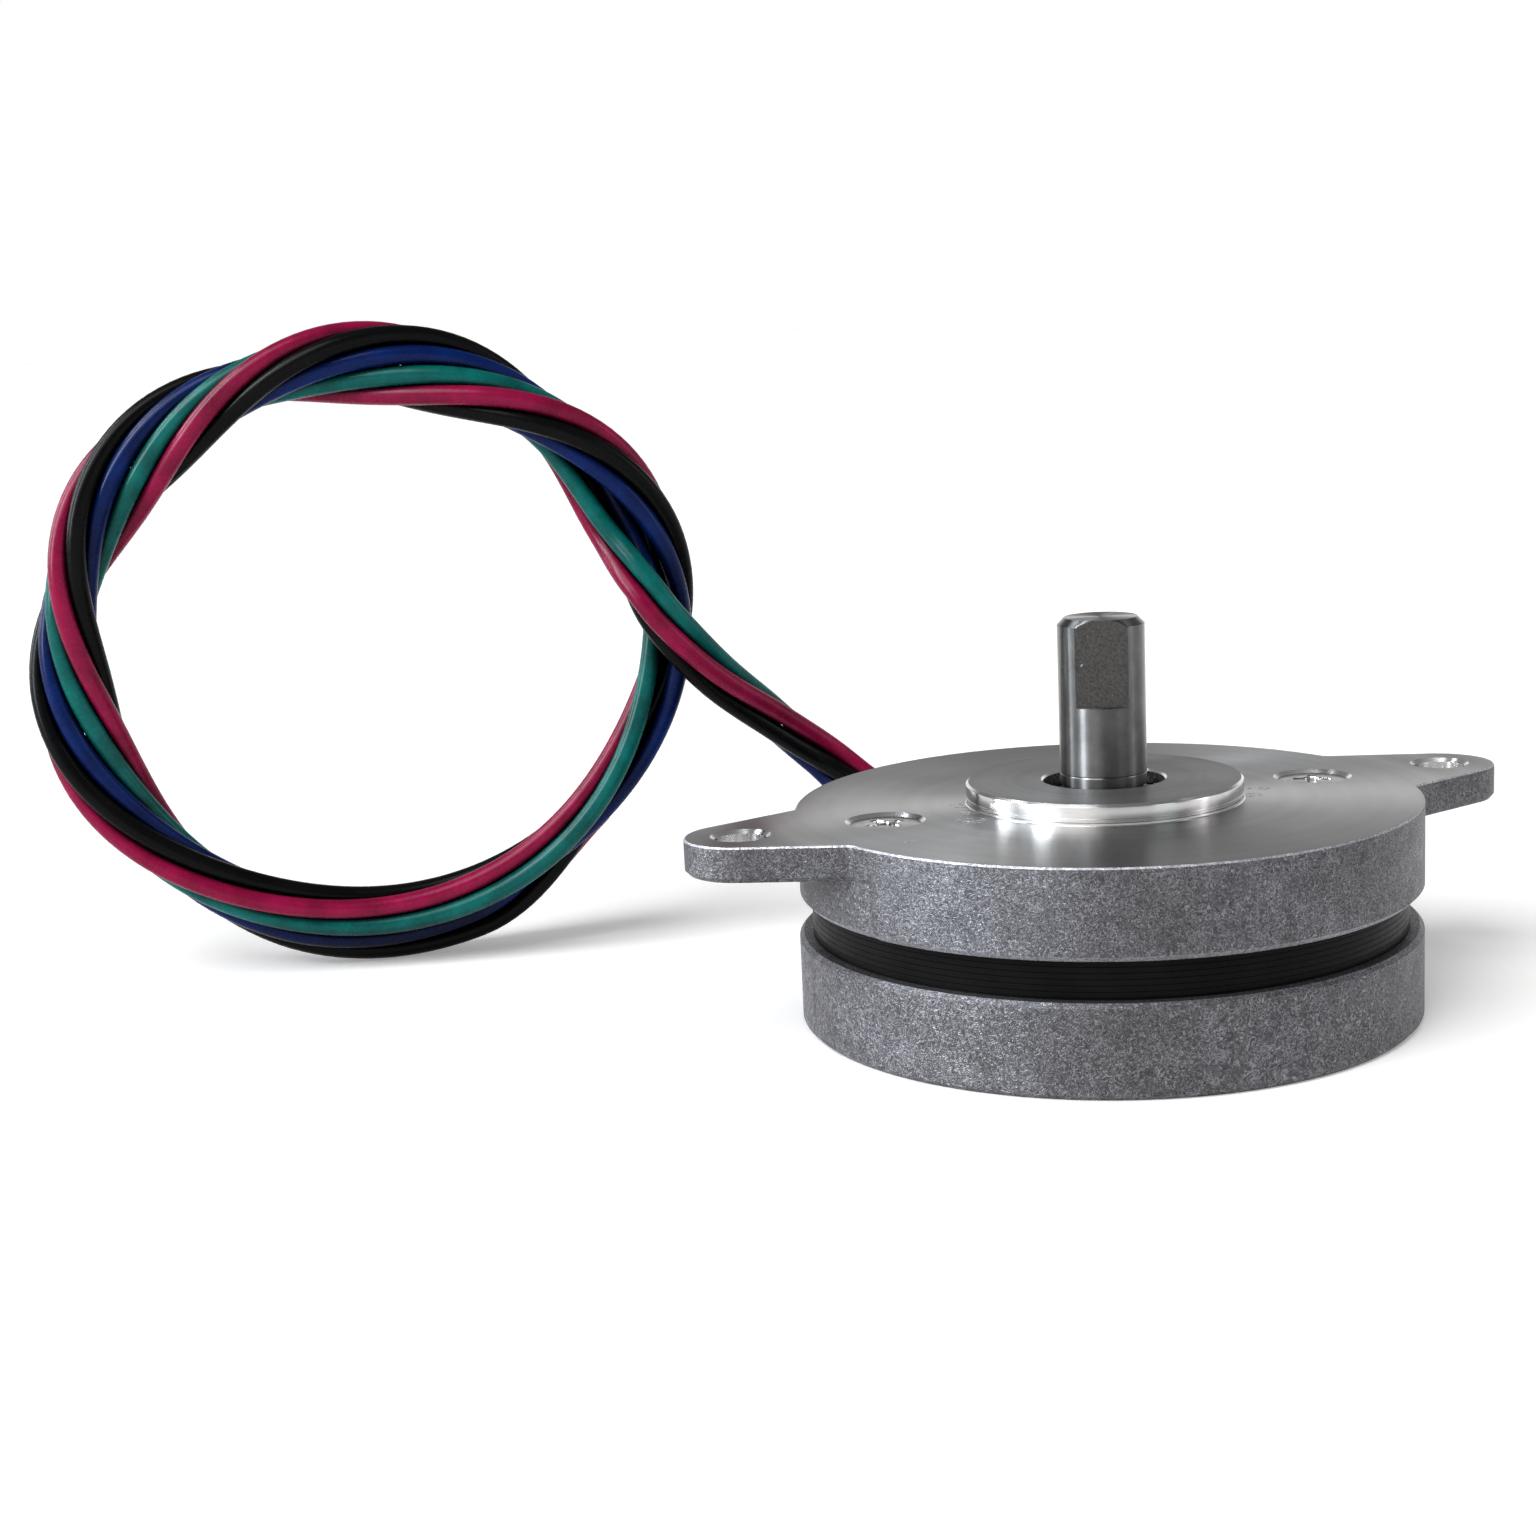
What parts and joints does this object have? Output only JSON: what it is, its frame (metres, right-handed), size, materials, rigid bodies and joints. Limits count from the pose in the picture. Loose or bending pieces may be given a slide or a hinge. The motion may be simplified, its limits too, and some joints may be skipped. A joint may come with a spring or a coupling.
{
  "type": "round pancake stepper motor",
  "caption": "Round pancake stepper motor with a two-ear flange, a pilot boss, a shaft with one flat, a band of laminations between two covers and loose leads wound into a ring.",
  "frame": {"origin": "middle of the rear cover's bottom face, on the shaft's axis", "axes": "+Z along the shaft towards its free end; X through the two ears"},
  "size_m": [0.0849, 0.0526, 0.0416],
  "materials": {
    "cast_cover": "die cast, blasted sides and a fine turned front face",
    "black_lamination": "black varnish",
    "insulator": "moulded",
    "copper_winding": "enamelled copper",
    "plated_screw": "bright plated",
    "outlet_block": "moulded",
    "spring_steel": "rolled",
    "bearing_steel": "ground",
    "ball_steel": "polished",
    "cage_brass": "pressed",
    "ground_shaft": "ground",
    "rotor_steel": "machined",
    "magnet": "sintered",
    "spacer_brass": "turned",
    "lead_black": "glossy insulation",
    "lead_green": "glossy insulation",
    "lead_blue": "glossy insulation",
    "lead_red": "glossy insulation",
    "tinned_wire": "tinned"
  },
  "bodies": {
    "motor": {"front_cover": "cast_cover", "rear_cover": "cast_cover", "stator_laminations": "black_lamination", "front_insulator": "insulator", "rear_insulator": "insulator", "phase_a_windings": "copper_winding", "phase_b_windings": "copper_winding", "cover_screws": "plated_screw", "lead_outlet": "outlet_block", "wave_washer": "spring_steel", "front_outer_ring": "bearing_steel", "front_shields": "spring_steel", "rear_outer_ring": "bearing_steel", "rear_shields": "spring_steel", "lead_black_run": "lead_black", "lead_green_run": "lead_green", "lead_blue_run": "lead_blue", "lead_red_run": "lead_red", "lead_black_coil": "lead_black", "lead_green_coil": "lead_green", "lead_blue_coil": "lead_blue", "lead_red_coil": "lead_red", "lead_tips": "tinned_wire"},
    "rotor": {"shaft": "ground_shaft", "rotor_cup_front": "rotor_steel", "rotor_cup_rear": "rotor_steel", "rotor_magnet": "magnet", "front_spacer": "spacer_brass", "rear_spacer": "spacer_brass", "front_inner_ring": "bearing_steel", "rear_inner_ring": "bearing_steel"},
    "front_ball_set": {"front_balls": "ball_steel", "front_ball_cage": "cage_brass"},
    "rear_ball_set": {"rear_balls": "ball_steel", "rear_ball_cage": "cage_brass"}
  },
  "joints": [
    {"name": "shaft_spin", "type": "hinge", "parent": "motor", "child": "rotor", "pos_m": [0, 0, 0.0063], "axis": [0, 0, 1], "continuous": true},
    {"name": "front_balls_roll", "type": "hinge", "parent": "motor", "child": "front_ball_set", "pos_m": [0, 0, 0.0113], "axis": [0, 0, 1], "continuous": true},
    {"name": "rear_balls_roll", "type": "hinge", "parent": "motor", "child": "rear_ball_set", "pos_m": [0, 0, 0.0027], "axis": [0, 0, 1], "continuous": true}
  ],
  "couplings": [
    {"joint": "front_balls_roll", "follows": "shaft_spin", "ratio": 0.4143},
    {"joint": "rear_balls_roll", "follows": "shaft_spin", "ratio": 0.4143}
  ]
}
